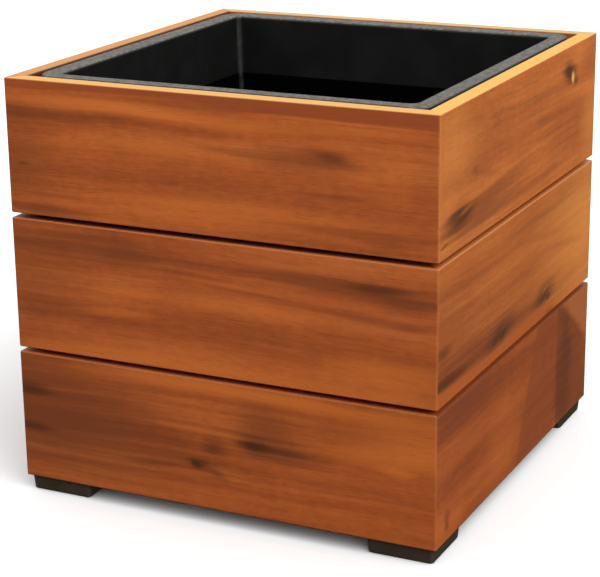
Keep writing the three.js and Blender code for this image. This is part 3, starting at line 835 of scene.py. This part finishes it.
def liner_finish():
    finish = moulded_plastic("liner_plastic", liner_colour, liner_pale, liner_seed, liner_grain,
                             liner_roughness)
    tree, shader = finish.node_tree, shader_of(finish)
    texture = add(tree, "ShaderNodeTexCoord")
    place = texture.outputs["Object"]
    height = add(tree, "ShaderNodeSeparateXYZ", place).outputs[2]

    grained_colour = shader.inputs["Base Color"].links[0].from_socket
    below = span(tree, height, shoulder + smooth_start, shoulder - smooth_full)
    plan_place = add(tree, "ShaderNodeVectorMath", place, plan_only, operation="MULTIPLY").outputs[0]
    outwards = add(tree, "ShaderNodeVectorMath", plan_place, texture.outputs["Normal"],
                   operation="DOT_PRODUCT").outputs["Value"]
    # Painted shade: below the shoulder the inner face is painted nearly black; it is also smoother there.
    smooth_shaded = calc(tree, "MULTIPLY", below, span(tree, outwards, *inner_facing))
    shade = tint(tree, smooth_shaded, grained_colour, smooth_inside_shade)

    # Painted highlight: the upright corners are painted paler, in specks.
    facing = unsigned_parts(tree, texture.outputs["Normal"])
    corner = span(tree, calc(tree, "MAXIMUM", facing[0], facing[1]), *corner_highlight_facing)
    corner = calc(tree, "MULTIPLY", corner, span(tree, facing[2], *corner_highlight_upright))
    speckles = figure(tree, place, corner_highlight_waves, liner_seed + corner_highlight_step)
    corner_highlight = calc(tree, "MULTIPLY", corner, span(tree, speckles, *speckle_range, corner_highlight_least, 1.0))
    shade = tint(tree, corner_highlight, shade, corner_highlight_colour)

    # Painted sheen: the flat top of the rim is painted grey in specks.
    specks = figure(tree, place, rim_speck_waves, liner_seed + rim_speck_step, rim_speck_detail)
    rim_sheen = tint(tree, span(tree, specks, *speckle_range), rim_sheen_dark, rim_sheen_pale)
    rim_face = span(tree, height, rim_top - rim_edge, rim_top - rim_edge / 3)
    out_x, out_y = unsigned_parts(tree, place)[:2]
    rim_side = span(tree, calc(tree, "MAXIMUM", out_x, out_y), rim_half - rim_edge / 3, rim_half - rim_edge)
    shade = tint(tree, calc(tree, "MULTIPLY", rim_face, rim_side), shade, rim_sheen)
    tree.links.new(shade, shader.inputs["Base Color"])

    grained_roughness = shader.inputs["Roughness"].links[0].from_socket
    rough = add(tree, "ShaderNodeMix", smooth_shaded, None, grained_roughness, smooth_roughness).outputs[0]
    tree.links.new(rough, shader.inputs["Roughness"])
    shader.inputs["Specular IOR Level"].default_value = liner_sheen
    return finish


tub = squared_shell(liner_profile())
knockouts = [(side_x * knockout_spot, side_y * knockout_spot) for side_x, side_y in corners.values()]
round_pockets(tub, floor_under, knockouts, knockout_radius, knockout_depth)
put("liner_tub", tub, liner_finish(), "liner_plastic", "liner", "liner")


# Floor: a plain pale studio floor under the box, wide enough to fill every view.
# It is matt, so it gives the box a soft shadow and no reflection.
floor_size = 30.0
floor_colour = (0.90, 0.90, 0.90)
floor_roughness = 0.9
ground = bmesh.new()
bmesh.ops.create_grid(ground, x_segments=1, y_segments=1, size=floor_size)
floor_mesh = bpy.data.meshes.new("studio_floor")
ground.to_mesh(floor_mesh)
ground.free()
floor_finish = new_finish("studio_floor")
floor_shader = shader_of(floor_finish)
floor_shader.inputs["Base Color"].default_value = (*floor_colour, 1.0)
floor_shader.inputs["Roughness"].default_value = floor_roughness
floor_shader.inputs["Specular IOR Level"].default_value = 0.0
floor_mesh.materials.append(floor_finish)
studio_floor = bpy.data.objects.new("studio_floor", floor_mesh)
bpy.context.collection.objects.link(studio_floor)
studio_floor.visible_diffuse = False
studio_floor.visible_glossy = False


# Light: a white studio sky that dims towards the ground, and one very wide soft lamp above the box and to
# its right. The top edges of the boards and the right side get the most of it.
sky_colour = (1.0, 1.0, 1.0)
sky_rises = (0.0, 0.45)
sky_strengths = (0.05, 1.0)
lamp_strength = 2.4
lamp_width = radians(60)
lamp_direction = Vector((-0.75, 0.40, -0.75))
sky = bpy.data.worlds.new("studio_sky")
sky.use_nodes = True
sky_place = add(sky.node_tree, "ShaderNodeTexCoord").outputs["Generated"]
sky_rise = add(sky.node_tree, "ShaderNodeSeparateXYZ", sky_place).outputs[2]
sky_glow = span(sky.node_tree, sky_rise, *sky_rises, *sky_strengths)
sky_inputs = sky.node_tree.nodes["Background"].inputs
sky_inputs["Color"].default_value = (*sky_colour, 1.0)
sky.node_tree.links.new(sky_glow, sky_inputs["Strength"])
bpy.context.scene.world = sky
lamp_data = bpy.data.lights.new("studio_lamp", "SUN")
lamp_data.energy = lamp_strength
lamp_data.angle = lamp_width
lamp = bpy.data.objects.new("studio_lamp", lamp_data)
lamp.rotation_euler = lamp_direction.to_track_quat("-Z", "Y").to_euler()
bpy.context.collection.objects.link(lamp)
bpy.context.scene.view_settings.view_transform = "Standard"


# Camera: a long lens a little above the box, turned to its right, as the photograph was taken.
# It leans very slightly, and looks at a point near the middle of the box.
aim = Vector((-0.0150, -0.0073, 0.1592))
aim_distance = 1.7578
aim_turn = radians(25.97)
aim_rise = radians(17.41)
aim_lean = radians(0.745)
sensor_width = 36.0
lens_length = 112.92
camera_data = bpy.data.cameras.new("camera")
camera_data.sensor_width = sensor_width
camera_data.lens = lens_length
camera = bpy.data.objects.new("camera", camera_data)
back = Vector((sin(aim_turn) * cos(aim_rise), -cos(aim_turn) * cos(aim_rise), sin(aim_rise)))
camera.location = aim + back * aim_distance
look = (-back).to_track_quat("-Z", "Y").to_matrix().to_4x4() @ Matrix.Rotation(-aim_lean, 4, "Z")
camera.rotation_euler = look.to_euler()
bpy.context.collection.objects.link(camera)
bpy.context.scene.camera = camera
